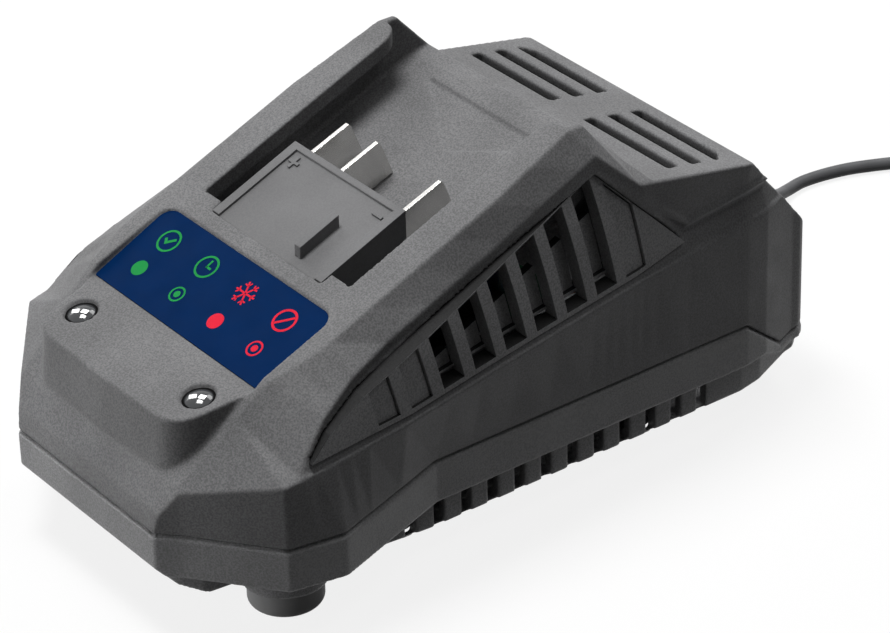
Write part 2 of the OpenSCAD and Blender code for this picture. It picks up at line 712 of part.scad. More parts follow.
// ---- terminal block and blades ----
block_y = bay_start_y - 2.8;
block_end = block_y + block_l;
function block_z(y) = rail_z(y);
rim_w = 2.6;               // rim beside the shallow face
rim_l = 1.5;               // rim behind it
face_sink = 0.6;
rib_y = block_y + 2.2;     // key rib on the face
rib_l = 11;
rib_h = 2.4;
mark_y = block_end - 4.1;  // plus and minus marks
module terminal_opening() {
    translate([-block_w / 2 - fit / 2, block_y - fit / 2, floor_z(bay_start_y) - 0.01])
        cube([block_w + fit, bay_start_y - block_y + 1, 30]);
    translate([-block_w / 2 + 4, block_y + 4, floor_z(block_y) - 12]) cube([block_w - 8, block_l - 8, 40]);
}
module terminal_block() color(smooth_black) centred() {
    difference() {
        union() {
            across(block_w / 2) polygon([
                [block_y, floor_z(bay_start_y)], [block_y, block_z(block_y)], [block_end, block_z(block_end)],
                [block_end, floor_z(block_end)], [bay_start_y, floor_z(bay_start_y)]
            ]);
            translate([-block_w / 2 + 4.2, block_y + 4.2, floor_z(block_y) - 4]) cube([block_w - 8.4, block_l - 8.4, 8]);
        }
        // shallow face inside a rim that is open to the front
        across(block_w / 2 - rim_w) polygon([
            [block_y - 1, block_z(block_y - 1) - face_sink], [block_y - 1, 90], [block_end - rim_l, 90],
            [block_end - rim_l, block_z(block_end - rim_l) - face_sink]
        ]);
        for (x = [-blade_x, -data_blade_x, blade_x])
            across_at(x - blade_t / 2, x + blade_t / 2) blade_profile();
    }
    // key rib and the plus and minus marks
    across_at(8.4, 10.6) polygon([
        [rib_y, block_z(rib_y) - 1], [rib_y, block_z(rib_y) + rib_h],
        [rib_y + rib_l, block_z(rib_y + rib_l) + rib_h], [rib_y + rib_l, block_z(rib_y + rib_l) - 1]
    ]);
    for (mark = [[-blade_x + 1.6, 1], [blade_x - 1.6, 0]])
        translate([mark[0], mark_y, block_z(mark_y) - face_sink]) rotate([rail_angle, 0, 0]) {
            translate([-1.8, -0.4, -0.2]) cube([3.6, 0.8, 0.6]);
            if (mark[1] == 1) translate([-0.4, -1.8, -0.2]) cube([0.8, 3.6, 0.6]);
        }
}
// A plate between two x positions from a profile in the y-z plane
module across_at(x0, x1) translate([x0, 0, 0]) rotate([90, 0, 90]) linear_extrude(x1 - x0) children();

module blade_profile() {
    root_y = block_y + 14;
    top_y = block_end + blade_l - 3.4;
    foot_y = block_end + blade_l;
    top_z = block_z(block_end) - 3;
    rise = 0.387;
    corner = 1.6;
    polygon([
        [root_y, floor_z(block_y) - 10], [root_y, block_z(root_y) - 3], [block_end, top_z],
        [top_y - corner, top_z + rise * (blade_l - 3.4 - corner)], [top_y - corner / 3, top_z + rise * (blade_l - 3.9)],
        [top_y + 0.2, top_z + rise * (blade_l - 3.4) - 1], [foot_y, floor_z(foot_y) + 0.3],
        [block_end, floor_z(block_end) + 0.3], [root_y + 6, floor_z(block_y) + 4], [root_y + 6, floor_z(block_y) - 10]
    ]);
}
module blade(x) across_at(x - blade_t / 2, x + blade_t / 2) blade_profile();
module positive_blade() color("#c9c7c0") centred() blade(-blade_x);
module data_blade() color("#c9c7c0") centred() blade(-data_blade_x);
module negative_blade() color("#c9c7c0") centred() blade(blade_x);

// ---- electronics ----
board_t = 1.6;
board_top = board_z + board_t;
module circuit_board() color("#1d5a33") centred() {
    difference() {
        translate([-board_w / 2, board_y, board_z]) cube([board_w, board_l, board_t]);
        for (y = board_post_ys, side = [-1, 1])
            translate([side * board_post_x, y, board_z - 1]) cylinder(d = 3.2, h = 4);
    }
}
core_y = board_y + 62;
module transformer_core() color("#3a3a3c") centred() {
    translate([0, core_y, board_top]) difference() {
        translate([-18, -8, 3]) cube([36, 16, 28]);
        translate([-12, -9, 7]) cube([24, 18, 20]);
    }
    translate([-5, core_y - 8, board_top + 4]) cube([10, 16, 26]);
}
module transformer_coil() color("#c8a23c") centred() {
    translate([0, core_y, board_top]) difference() {
        union() {
            translate([-11.6, -13, 7.4]) cube([23.2, 26, 19.2]);
            for (side = [-1, 1]) translate([-14, side * 13 - 2, 0]) cube([28, 4, 9]);
        }
        translate([-5.2, -8.2, 0]) cube([10.4, 16.4, 40]);
    }
}
module mains_capacitor() color("#1c2a4a") centred() {
    translate([-14, board_y + board_l - 28, board_top]) cylinder(d = 18, h = 30);
}
module output_capacitors() color("#2a2a33") centred() {
    for (x = [-12, 2]) translate([x, board_y + 28, board_top]) cylinder(d = 10, h = 18);
}
sink_x = 20;
sink_t = 2.4;
module heat_sink() color("#9a9ca0") centred() {
    translate([sink_x, board_y + 16, board_top]) {
        cube([sink_t, 84, 22]);
        for (i = [0:6]) translate([sink_t, 4 + 12 * i, 4]) cube([4.4, 1.6, 18]);
    }
}
module power_transistor() color("#262628") centred() {
    translate([sink_x - 4.6, board_y + 90 - 6, board_top + 3]) cube([4.6, 10, 15]);
    for (i = [-1:1]) translate([sink_x - 2.8, board_y + 89 - 0.4 + 2.5 * i, board_top]) cube([0.8, 0.8, 3]);
}
module line_choke() color("#b5562a") centred() {
    translate([10, board_y + board_l - 12, board_top + 8]) rotate([90, 0, 0])
        rotate_extrude() translate([5.2, 0]) circle(d = 5.6);
    translate([4, board_y + board_l - 15, board_top]) cube([12, 6, 1.6]);
}
module mains_fuse() color("#d8d8d0") centred() {
    translate([-22, board_y + 46, board_top]) {
        translate([-2, 0, 0]) cube([4, 3, 6]);
        translate([-2, 17, 0]) cube([4, 3, 6]);
        translate([0, 3, 4]) rotate([-90, 0, 0]) cylinder(d = 3.6, h = 14);
    }
}

// ---- feet and screws ----
foot_h = belly_z + foot_sink;
foot_edge = 1.8;
module foot(x, y) {
    translate([x, y, 0]) rotate_extrude() difference() {
        square([foot_d / 2, foot_h]);
        translate([foot_d / 2 - foot_edge, 0]) difference() {
            translate([0, -1]) square([foot_edge + 1, foot_edge + 1]);
            translate([0, foot_edge]) circle(foot_edge);
        }
    }
}
module front_left_foot() color("#1b1b1c") centred() foot(-front_foot_x, front_foot_y);
module front_right_foot() color("#1b1b1c") centred() foot(front_foot_x, front_foot_y);
module rear_left_foot() color("#1b1b1c") centred() foot(-rear_foot_x, rear_foot_y);
module rear_right_foot() color("#1b1b1c") centred() foot(rear_foot_x, rear_foot_y);

module housing_screws() color("#8f9194") centred() {
    screw_places() {
        translate([0, 0, belly_z + 2]) cylinder(d = screw_d + 2.8, h = 2);
        translate([0, 0, belly_z + 3.9]) cylinder(d = screw_d - 0.5, h = seam_z - belly_z + 9);
    }
}

// ---- strain relief, cord and plug ----
cord_x = -26;
cord_z = seam_z - seam_drop;
relief_d = 8;
relief_end_d = 5.4;
collar_d = 11;
relief_tip_y = body_l + relief_l;
module relief_hole() {
    translate([cord_x, body_l - 12.1, cord_z]) rotate([-90, 0, 0]) cylinder(d = relief_d + fit, h = 20);
    translate([cord_x, body_l - 9.1, cord_z]) rotate([-90, 0, 0]) cylinder(d = collar_d + fit, h = 2.8);
}
module strain_relief() color("#232324") centred() {
    translate([cord_x, 0, cord_z]) rotate([-90, 0, 0]) rotate_extrude() polygon([
        [0, body_l - 12], [relief_d / 2, body_l - 12], [relief_d / 2, body_l - 9], [collar_d / 2, body_l - 9],
        [collar_d / 2, body_l - 6.4], [relief_d / 2, body_l - 6.4], [relief_d / 2, body_l + 4],
        [relief_end_d / 2, relief_tip_y], [0, relief_tip_y]
    ]);
}

// Route of the cord, with y counted from the front edge like everything else
cord_route = [
    [-26, 212, 16], [-26.6, 218, 15], [-28.4, 225, 11.4], [-31.2, 232, 6.8], [-34.2, 238, 3.6],
    [-36.8, 244, 2], [-38, 250, 1.8], [-37.4, 257, 1.8], [-35.6, 264.5, 1.8], [-32.6, 271.6, 1.8],
    [-29.2, 278.6, 1.8], [-25.8, 285.4, 2.2], [-22.8, 291.2, 2.6], [-19.9, 297, 2.6]
];
cord_end_route = [[21.2, 322.1, 6.3], [24.2, 322.1, 6.6], [27.2, 322.1, 7]];
cord_sides = 8;
function unit(v) = v / norm(v);
function route_direction(p, i) =
    i == 0 ? [0, 1, 0] :
    i == len(p) - 1 ? unit(p[i] - p[i - 1]) :
    unit(unit(p[i + 1] - p[i]) + unit(p[i] - p[i - 1]));
function ring(centre, direction, r) =
    let (side = unit(cross(direction, [0, 0, 1])), up = cross(side, direction))
    [for (k = [0:cord_sides - 1])
        centre + r * (cos(360 * k / cord_sides) * side + sin(360 * k / cord_sides) * up)];
module tube(path, r) {
    n = len(path);
    points = [for (i = [0:n - 1]) each ring(path[i], route_direction(path, i), r)];
    sides = [
        for (i = [0:n - 2])
            for (k = [0:cord_sides - 1])
                for (half = [0, 1])
                    let (a = i * cord_sides + k, b = i * cord_sides + (k + 1) % cord_sides)
                    half == 0 ? [a, b, a + cord_sides] : [b, b + cord_sides, a + cord_sides]
    ];
    caps = [
        [for (k = [0:cord_sides - 1]) cord_sides - 1 - k],
        [for (k = [0:cord_sides - 1]) (n - 1) * cord_sides + k]
    ];
    polyhedron(points, concat(sides, caps), convexity = 6);
}
module cord_tube() color("#4a4b4d") centred() tube(cord_route, cord_d / 2);
module cord_end() color("#4a4b4d") centred() tube(cord_end_route, cord_d / 2);

// Coil of the length that is put away
coil_x = 8;
coil_y = 298;
coil_mid_r = 19;
coil_columns = 4;
coil_layers = 4;
coil_band = coil_columns * cord_d;
coil_h = coil_layers * cord_d;
tie_t = 0.8;
coil_z = tie_t + 0.1;
module cord_coil() color("#4a4b4d") centred() {
    translate([coil_x, coil_y, 0]) rotate_extrude()
        translate([coil_mid_r - coil_band / 2, coil_z]) square([coil_band, coil_h]);
}
module cord_tie() color("#1b1b1c") centred() {
    translate([coil_x, coil_y, 0]) rotate([0, 0, 35]) difference() {
        translate([coil_mid_r - coil_band / 2 - 0.6 - tie_t, -3, 0])
            cube([coil_band + 1.2 + 2 * tie_t, 6, coil_h + 0.2 + 2 * tie_t]);
        translate([coil_mid_r - coil_band / 2 - 0.6, -4, tie_t]) cube([coil_band + 1.2, 8, coil_h + 0.2]);
    }
}
// Flat two-pin plug, lying with its pins side by side
plug_x = 27.2;
plug_y = 322.1;
plug_z = 7;
plug_l = 33;
plug_h = 13.6;
pin_gap = 18.6;
module along_plug(x) translate([plug_x + x, plug_y, plug_z]) rotate([0, 90, 0]) children();
module mains_plug() color("#2c2d2f") centred() {
    hull() {
        along_plug(plug_l - 15) linear_extrude(15)
            for (side = [-1, 1]) translate([0, side * 11]) circle(d = plug_h, $fn = 32);
        along_plug(0) linear_extrude(2) circle(d = 9, $fn = 32);
    }
}
module plug_pins() color("#c9c7c0") centred() {
    for (side = [-1, 1]) along_plug(plug_l) translate([0, side * pin_gap / 2, 0]) cylinder(d = 4, h = 19);
}

top_shell();
bottom_shell();
left_vent_grille();
right_vent_grille();
status_label();
left_lamp_lens();
right_lamp_lens();
lamp_board();
status_lamps();
terminal_block();
positive_blade();
data_blade();
negative_blade();
circuit_board();
transformer_core();
transformer_coil();
mains_capacitor();
output_capacitors();
heat_sink();
power_transistor();
line_choke();
mains_fuse();
front_left_foot();
front_right_foot();
rear_left_foot();
rear_right_foot();
housing_screws();
strain_relief();
cord_tube();
cord_coil();
cord_end();
cord_tie();
mains_plug();
plug_pins();
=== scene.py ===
"""Looks of the tool battery charger: camera, materials, mains cord, shells, lamps, label print and light."""

import json
import math

import bmesh
import bpy
from mathutils import Matrix, Vector


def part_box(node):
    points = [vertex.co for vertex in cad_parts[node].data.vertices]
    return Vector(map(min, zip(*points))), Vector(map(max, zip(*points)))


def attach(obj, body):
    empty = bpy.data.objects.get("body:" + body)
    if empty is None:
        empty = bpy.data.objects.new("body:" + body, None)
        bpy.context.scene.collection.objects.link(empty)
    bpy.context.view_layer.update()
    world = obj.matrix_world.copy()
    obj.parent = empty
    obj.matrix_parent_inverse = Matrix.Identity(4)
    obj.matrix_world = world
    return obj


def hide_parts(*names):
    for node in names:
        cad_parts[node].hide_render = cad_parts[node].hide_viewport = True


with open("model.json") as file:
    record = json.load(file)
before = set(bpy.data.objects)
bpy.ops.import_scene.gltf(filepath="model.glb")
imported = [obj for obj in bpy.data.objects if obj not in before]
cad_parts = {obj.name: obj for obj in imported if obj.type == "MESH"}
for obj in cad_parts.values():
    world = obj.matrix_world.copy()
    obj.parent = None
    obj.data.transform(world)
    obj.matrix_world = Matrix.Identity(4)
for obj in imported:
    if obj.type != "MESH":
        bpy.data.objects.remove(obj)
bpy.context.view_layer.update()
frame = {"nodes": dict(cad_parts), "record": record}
nodes = frame["nodes"]

MM = 0.001
BODY_LENGTH = 188 * MM
FRONT_Y = -BODY_LENGTH / 2
FULL_TURN = 360            # degrees


def in_frame(point):
    """A point in millimetres, with y counted from the front edge, as metres in the frame."""
    return Vector((point[0] * MM, point[1] * MM + FRONT_Y, point[2] * MM))


# ---- camera ----
# Place in metres and angles in degrees, solved from the parallel edges in the photograph
CAMERA_PLACE = (0.6804, -0.4903, 0.5325)
CAMERA_AZIMUTH = 53.745
CAMERA_ELEVATION = 30.635
CAMERA_ROLL = -1.555
FOCAL_PIXELS = 4105.5
IMAGE_WIDTH = 890
SENSOR_WIDTH = 36


def make_camera():
    azimuth = math.radians(CAMERA_AZIMUTH)
    elevation = math.radians(CAMERA_ELEVATION)
    roll = math.radians(CAMERA_ROLL)
    back = Vector((
        math.sin(azimuth) * math.cos(elevation),
        -math.cos(azimuth) * math.cos(elevation),
        math.sin(elevation),
    ))
    right = (-back).cross(Vector((0, 0, 1))).normalized()
    up = right.cross(-back)
    rolled_right = math.cos(roll) * right + math.sin(roll) * up
    rolled_up = math.cos(roll) * up - math.sin(roll) * right
    data = bpy.data.cameras.new("camera")
    data.sensor_fit = "HORIZONTAL"
    data.sensor_width = SENSOR_WIDTH
    data.lens = FOCAL_PIXELS / IMAGE_WIDTH * SENSOR_WIDTH
    camera = bpy.data.objects.new("camera", data)
    bpy.context.scene.collection.objects.link(camera)
    turn = Matrix((rolled_right, rolled_up, back)).transposed().to_4x4()
    camera.matrix_world = Matrix.Translation(CAMERA_PLACE) @ turn
    bpy.context.scene.camera = camera


# ---- materials ----
# A noise's scale is in cells per metre: 45 gives clouds of about 20 mm, and 2300 points of about 0.4 mm
CLOUD_SCALE = 45
POINT_SCALE = 2300
EROSION_SCALE = 1500
SHEEN_SCALE = 180
NOISE_RANGE = (0.3, 0.7)   # values between which nearly all of a noise lies
TINT_RANGE = (0.35, 0.65)  # values of a noise at which a colour is darkest and lightest
EDGE_SAMPLES = 4
SHELL_TONE = 0.145
LOWER_PAINTED_LIGHT = 1.5           # painted light: tone of the lower shell over that of the upper one, which is the same plastic
GRILLE_PAINTED_LIGHT = 1.8          # and of the grille inserts, a painted light lift of the same plastic
PAINTED_SHADE_UPWARD = (0.5, 0.7)        # upright part of a face's normal where the painted shade starts and where it is full


def new_material(name):
    material = bpy.data.materials.new(name)
    material.use_nodes = True
    return material, material.node_tree, material.node_tree.nodes["Principled BSDF"]


def noise(tree, scale, detail=2.0, rough=0.5):
    place = tree.nodes.get("place") or tree.nodes.new("ShaderNodeTexCoord")
    place.name = "place"
    node = tree.nodes.new("ShaderNodeTexNoise")
    node.inputs["Scale"].default_value = scale
    node.inputs["Detail"].default_value = detail
    node.inputs["Roughness"].default_value = rough
    tree.links.new(place.outputs["Object"], node.inputs["Vector"])
    return node.outputs["Fac"]


def ranged(tree, value, given, wanted):
    """The value with one range stretched over another, and held at its ends."""
    node = tree.nodes.new("ShaderNodeMapRange")
    node.inputs["From Min"].default_value = given[0]
    node.inputs["From Max"].default_value = given[1]
    node.inputs["To Min"].default_value = wanted[0]
    node.inputs["To Max"].default_value = wanted[1]
    tree.links.new(value, node.inputs["Value"])
    return node.outputs["Result"]


def tinted(tree, value, dark, light):
    ramp = tree.nodes.new("ShaderNodeValToRGB")
    for element, position, colour in zip(ramp.color_ramp.elements, TINT_RANGE, (dark, light)):
        element.position = position
        element.color = (*colour, 1)
    tree.links.new(value, ramp.inputs["Fac"])
    return ramp.outputs["Color"]


def varied(tree, colour, scale, least, most):
    """A colour that drifts over the surface between two shares of itself."""
    dark = tuple(c * least for c in colour)
    light = tuple(min(1.0, c * most) for c in colour)
    return tinted(tree, noise(tree, scale), dark, light)


def roughened(tree, surface, scale, least, most):
    value = ranged(tree, noise(tree, scale), NOISE_RANGE, (least, most))
    tree.links.new(value, surface.inputs["Roughness"])


def multiplied(tree, first, second):
    node = tree.nodes.new("ShaderNodeMix")
    node.data_type = "RGBA"
    node.blend_type = "MULTIPLY"
    node.inputs["Factor"].default_value = 1
    colours = [socket for socket in node.inputs if socket.type == "RGBA"]
    tree.links.new(first, colours[0])
    tree.links.new(second, colours[1])
    return [socket for socket in node.outputs if socket.type == "RGBA"][0]


def painted_shade_on_upward_faces(tree, colour, share):
    """The colour dimmed to the given share on faces that look up: painted shade, so that an edge reads as a
    dark gap in shadow.
    """
    shape = tree.nodes.new("ShaderNodeNewGeometry")
    parts = tree.nodes.new("ShaderNodeSeparateXYZ")
    tree.links.new(shape.outputs["Normal"], parts.inputs[0])
    return multiplied(tree, colour, ranged(tree, parts.outputs["Z"], PAINTED_SHADE_UPWARD, (1, share)))


def bumped(tree, surface, height, depth, edge):
    """Fine relief of the given depth over edges rounded by the given radius, both in metres."""
    bevel = tree.nodes.new("ShaderNodeBevel")
    bevel.samples = EDGE_SAMPLES
    bevel.inputs["Radius"].default_value = edge
    bump = tree.nodes.new("ShaderNodeBump")
    bump.inputs["Strength"].default_value = 1
    bump.inputs["Distance"].default_value = depth
    tree.links.new(height, bump.inputs["Height"])
    tree.links.new(bevel.outputs["Normal"], bump.inputs["Normal"])
    tree.links.new(bump.outputs["Normal"], surface.inputs["Normal"])


def plastic(name, colour, roughness, depth=0.03 * MM, edge=0.6 * MM, specular=0.12, speckle=0.22, rim=1.0):
    """Moulded plastic with a fine grain and paler points. Faces that look up can be darkened with painted
    shade to a given share.
    """
    material, tree, surface = new_material(name)
    cloud = varied(tree, colour, CLOUD_SCALE, least=0.9, most=1.12)
    dark_point = (1 - speckle,) * 3
    light_point = (1 + speckle,) * 3
    points = tinted(tree, noise(tree, POINT_SCALE, detail=1.0), dark_point, light_point)
    look = multiplied(tree, cloud, points)
    # painted shade on faces that look up
    if rim < 1:
        look = painted_shade_on_upward_faces(tree, look, rim)
    tree.links.new(look, surface.inputs["Base Color"])
    roughened(tree, surface, SHEEN_SCALE, least=roughness - 0.04, most=roughness + 0.04)
    surface.inputs["Specular IOR Level"].default_value = specular
    bumped(tree, surface, noise(tree, EROSION_SCALE, detail=3.0, rough=0.6), depth, edge)
    return material


def rubber(name, colour, roughness):
    material, tree, surface = new_material(name)
    look = varied(tree, colour, scale=90, least=1, most=1.3)
    tree.links.new(look, surface.inputs["Base Color"])
    roughened(tree, surface, scale=300, least=roughness - 0.05, most=roughness + 0.05)
    surface.inputs["Specular IOR Level"].default_value = 0.15
    bumped(tree, surface, noise(tree, 900), depth=0.02 * MM, edge=0.4 * MM)
    return material


def metal(name, colour, roughness):
    material, tree, surface = new_material(name)
    look = varied(tree, colour, scale=120, least=0.93, most=1.05)
    tree.links.new(look, surface.inputs["Base Color"])
    roughened(tree, surface, scale=160, least=roughness - 0.04, most=roughness + 0.04)
    surface.inputs["Metallic"].default_value = 1
    bumped(tree, surface, noise(tree, 900), depth=0.002 * MM, edge=0.2 * MM)
    return material


def gloss(name, colour, roughness, specular=0.4, alpha=1.0):
    """Smooth film, varnish, glass or lacquer."""
    material, tree, surface = new_material(name)
    look = varied(tree, colour, scale=120, least=1, most=1.12)
    tree.links.new(look, surface.inputs["Base Color"])
    roughened(tree, surface, scale=200, least=roughness * 0.85, most=roughness * 1.15)
    surface.inputs["Specular IOR Level"].default_value = specular
    surface.inputs["Alpha"].default_value = alpha
    bumped(tree, surface, noise(tree, 400), depth=0.004 * MM, edge=0.2 * MM)
    return material


def highlight_glow(name, colour, strength):
    """Face of a light-emitting diode, glowing white as a painted highlight."""
    material, tree, surface = new_material(name)
    look = varied(tree, colour, scale=900, least=0.9, most=1)
    tree.links.new(look, surface.inputs["Base Color"])
    roughened(tree, surface, scale=900, least=0.3, most=0.4)
    surface.inputs["Emission Color"].default_value = (*colour, 1)
    surface.inputs["Emission Strength"].default_value = strength
    return material


def make_materials():
    looks = {}
    tone = (SHELL_TONE, SHELL_TONE, SHELL_TONE * 1.02)
    # lighter copy of the shell plastic for the lower shell: painted light
    lower = tuple(c * LOWER_PAINTED_LIGHT for c in tone)
    # lighter copy of the shell plastic for the grille inserts: painted light
    grille = tuple(c * GRILLE_PAINTED_LIGHT for c in tone)

    def add(recipe, name, *values, **details):
        looks[name] = recipe(name, *values, **details)

    add(plastic, "shell_plastic", tone, 0.5)
    add(plastic, "lower_plastic", lower, 0.45, specular=0.2)
    # the grille's faces that look up get painted shade, so that its upper edge reads as a dark gap
    add(plastic, "grille_plastic", grille, 0.5, edge=0.2 * MM, rim=0.06)
    add(plastic, "terminal_plastic", tone, 0.42, depth=0.008 * MM, edge=0.3 * MM, speckle=0.06)
    add(gloss, "label_film", (0.0, 0.0145, 0.066), 0.5, specular=0.02)
    add(gloss, "print_green", (0.006, 0.22, 0.046), 0.5, specular=0.08)
    add(gloss, "print_red", (0.62, 0.011, 0.034), 0.5, specular=0.08)
    add(gloss, "lamp_lens", (0.03, 0.032, 0.035), 0.07, specular=0.6)
    add(gloss, "lamp_well", (0.004, 0.004, 0.004), 0.6, specular=0.05)
    # white glow of the diode faces: a painted highlight
    add(highlight_glow, "lamp_chip", (1.0, 1.0, 1.0), 0.9)
    add(gloss, "lamp_body", (0.6, 0.66, 0.58), 0.2)
    add(metal, "contact_metal", (0.72, 0.71, 0.69), 0.22)
    add(gloss, "board", (0.004, 0.03, 0.012), 0.4, specular=0.2)
    add(plastic, "ferrite", (0.03, 0.03, 0.034), 0.6)
    add(metal, "copper", (0.7, 0.32, 0.13), 0.35)
    add(gloss, "capacitor_sleeve", (0.01, 0.02, 0.07), 0.25)
    add(metal, "heat_sink", (0.4, 0.41, 0.42), 0.4)
    add(plastic, "epoxy", (0.02, 0.02, 0.02), 0.5)
    add(gloss, "fuse_glass", (0.7, 0.74, 0.72), 0.08, alpha=0.5)
    add(rubber, "foot_rubber", (0.22, 0.22, 0.222), 0.6)
    add(metal, "screw_steel", (0.06, 0.06, 0.063), 0.4)
    add(rubber, "relief_rubber", (0.07, 0.07, 0.072), 0.5)
    add(rubber, "cord_sheath", (0.085, 0.086, 0.09), 0.45)
    add(rubber, "tie", (0.03, 0.03, 0.03), 0.6)
    add(plastic, "plug_plastic", (0.07, 0.07, 0.073), 0.45)
    return looks


def dress_nodes(looks):
    """Gives each CAD node the material of its slot, and the lower shell a lighter copy of the shell plastic,
    as painted light.
    """
    for part in frame["record"]["subparts"]:
        mesh = nodes[part["node"]].data
        look = looks["lower_plastic" if part["node"] == "bottom_shell" else part["material_slot"]]
        if len(mesh.materials) == 0:
            mesh.materials.append(look)
        for index in range(len(mesh.materials)):
            mesh.materials[index] = look


def own_piece(name, data, look, replaced=(), place=None):
    """A piece of the scene's own on the housing, which may stand for CAD nodes."""
    piece = bpy.data.objects.new(name, data)
    bpy.context.scene.collection.objects.link(piece)
    data.materials.clear()
    data.materials.append(look)
    if place is not None:
        piece.matrix_world = place
    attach(piece, "root")
    if replaced:
        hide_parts(*replaced)
    return piece


# ---- mains cord ----
# Places and lengths in millimetres, with y counted from the front edge, and angles in degrees
CORD_DIAMETER = 3.4
CORD_SMOOTHNESS = 4
CORD_EXIT = (-26, 188, 16)
CORD_ROUTE = [
    CORD_EXIT, (-26, 196, 16), (-26, 204, 16),
    (-26, 212, 16), (-26.6, 218, 15), (-28.4, 225, 11.4), (-31.2, 232, 6.8), (-34.2, 238, 3.6),
    (-36.8, 244, 2), (-38, 250, 1.8), (-37.4, 257, 1.8), (-35.6, 264.5, 1.8), (-32.6, 271.6, 1.8),
    (-29.2, 278.6, 1.8), (-25.8, 285.4, 2.2), (-22.8, 291.2, 2.6), (-19.9, 297, 2.6),
]
CORD_END = [(21.2, 322.1, 6.3), (24.2, 322.1, 6.6), (27.2, 322.1, 7)]
ROUTE_STEPS = 4            # points of the curve from one point of the route to the next
COIL_CENTRE = (8, 298)
COIL_INNER_RADIUS = 13.9
COIL_BOTTOM = 2.6
# Order in which the turns fill the coil, as (column from the inside, layer from the table)
COIL_TURNS = [
    (3, 0), (2, 0), (1, 0), (0, 0), (0, 1), (0, 2), (0, 3), (1, 3),
    (1, 2), (1, 1), (2, 1), (2, 2), (2, 3), (3, 3), (3, 2), (3, 1),
]
COIL_START = 153.6
COIL_END = 90
COIL_STEP = 10             # from one point of the coil to the next
STEP_ACROSS = 28           # length of cord over which a turn moves to the next column
STEP_UP = 26               # and to the next layer
FIRST_STEP_GAP = 25        # from the end of the first step inward to the place where the cord comes in
NEW_WAY_GAP = 4            # from the end of a step that goes another way to the last step's start


def coil_runs():
    """Stretches of the coil: start and end angle, then start and end place as (radius, height)."""
    places = [
        (COIL_INNER_RADIUS + column * CORD_DIAMETER, COIL_BOTTOM + layer * CORD_DIAMETER)
        for column, layer in COIL_TURNS
    ]
    runs = []
    angle = COIL_START
    step_start = step_end = way = None
    for here, there in zip(places, places[1:]):
        new_way = (there[0] > here[0], there[1] > here[1], there[0] == here[0])
        length = STEP_UP if there[0] == here[0] else STEP_ACROSS
        turn = math.degrees(length / ((here[0] + there[0]) / 2))
        if way is None:
            step_start = COIL_START - FULL_TURN + FIRST_STEP_GAP + turn
        elif new_way == way:
            step_start = step_end - FULL_TURN + turn
        else:
            step_start += turn + NEW_WAY_GAP - FULL_TURN
        way = new_way
        step_end = step_start - turn
        runs.append((angle, step_start, here, here))
        runs.append((step_start, step_end, here, there))
        angle = step_end
    last = COIL_END
    while last > angle:
        last -= FULL_TURN
    runs.append((angle, last, places[-1], places[-1]))
    return runs


def coil_points():
    """Turns of the coil, clockwise from above, each a cord's width from its neighbours."""
    points = []
    for start, end, here, there in coil_runs():
        count = max(2, int((start - end) / COIL_STEP) + 1)
        for index in range(count):
            share = index / count
            turned = math.radians(start + (end - start) * share)
            eased = share * share * (3 - 2 * share)
            radius = here[0] + (there[0] - here[0]) * eased
            height = here[1] + (there[1] - here[1]) * eased
            points.append((
                COIL_CENTRE[0] + radius * math.cos(turned),
                COIL_CENTRE[1] + radius * math.sin(turned),
                height,
            ))
    return points


def smooth_route(points):
    """Points of a smooth curve through the given ones."""
    fine = []
    for index in range(len(points) - 1):
        before = Vector(points[max(index - 1, 0)])
        start = Vector(points[index])
        end = Vector(points[index + 1])
        after = Vector(points[min(index + 2, len(points) - 1)])
        for step in range(ROUTE_STEPS):
            t = step / ROUTE_STEPS
            fine.append(0.5 * (
                2 * start + (end - before) * t
                + (2 * before - 5 * start + 4 * end - after) * t ** 2
                + (3 * start - before - 3 * end + after) * t ** 3
            ))
    fine.append(Vector(points[-1]))
    return fine


def make_cord(look):
    coil = coil_points()
    route = smooth_route(CORD_ROUTE + coil[:1])[:-1] + [Vector(point) for point in coil]
    route += smooth_route([coil[-1]] + CORD_END)[1:]
    curve = bpy.data.curves.new("mains_cord", "CURVE")
    curve.dimensions = "3D"
    curve.bevel_depth = CORD_DIAMETER / 2 * MM
    curve.bevel_resolution = CORD_SMOOTHNESS
    curve.use_fill_caps = True
    spline = curve.splines.new("POLY")
    spline.points.add(len(route) - 1)
    for point, place in zip(spline.points, route):
        point.co = (*in_frame(place), 1)
    spline.use_smooth = True
    cord = own_piece("mains_cord", curve, look, ("cord_tube", "cord_coil", "cord_end"))


# ---- moulded shells ----
MOULD_CELL = 0.45 * MM
MOULD_SMOOTHING = 0.5
MOULD_PASSES = 2


def moulded(name, node, look):
    """The CAD solid with its edges rounded as a mould rounds them."""
    source = nodes[node]
    rough = bpy.data.objects.new("rough", source.data.copy())
    bpy.context.scene.collection.objects.link(rough)
    rough.matrix_world = source.matrix_world
    remesh = rough.modifiers.new("remesh", "REMESH")
    remesh.mode = "VOXEL"
    remesh.voxel_size = MOULD_CELL
    smooth = rough.modifiers.new("smooth", "SMOOTH")
    smooth.factor = MOULD_SMOOTHING
    smooth.iterations = MOULD_PASSES
    bpy.context.view_layer.update()
    result = bpy.data.meshes.new_from_object(rough.evaluated_get(bpy.context.evaluated_depsgraph_get()))
    result.name = name
    result.polygons.foreach_set("use_smooth", [True] * len(result.polygons))
    place = rough.matrix_world.copy()
    bpy.data.objects.remove(rough)
    own_piece(name, result, look, (node,), place)


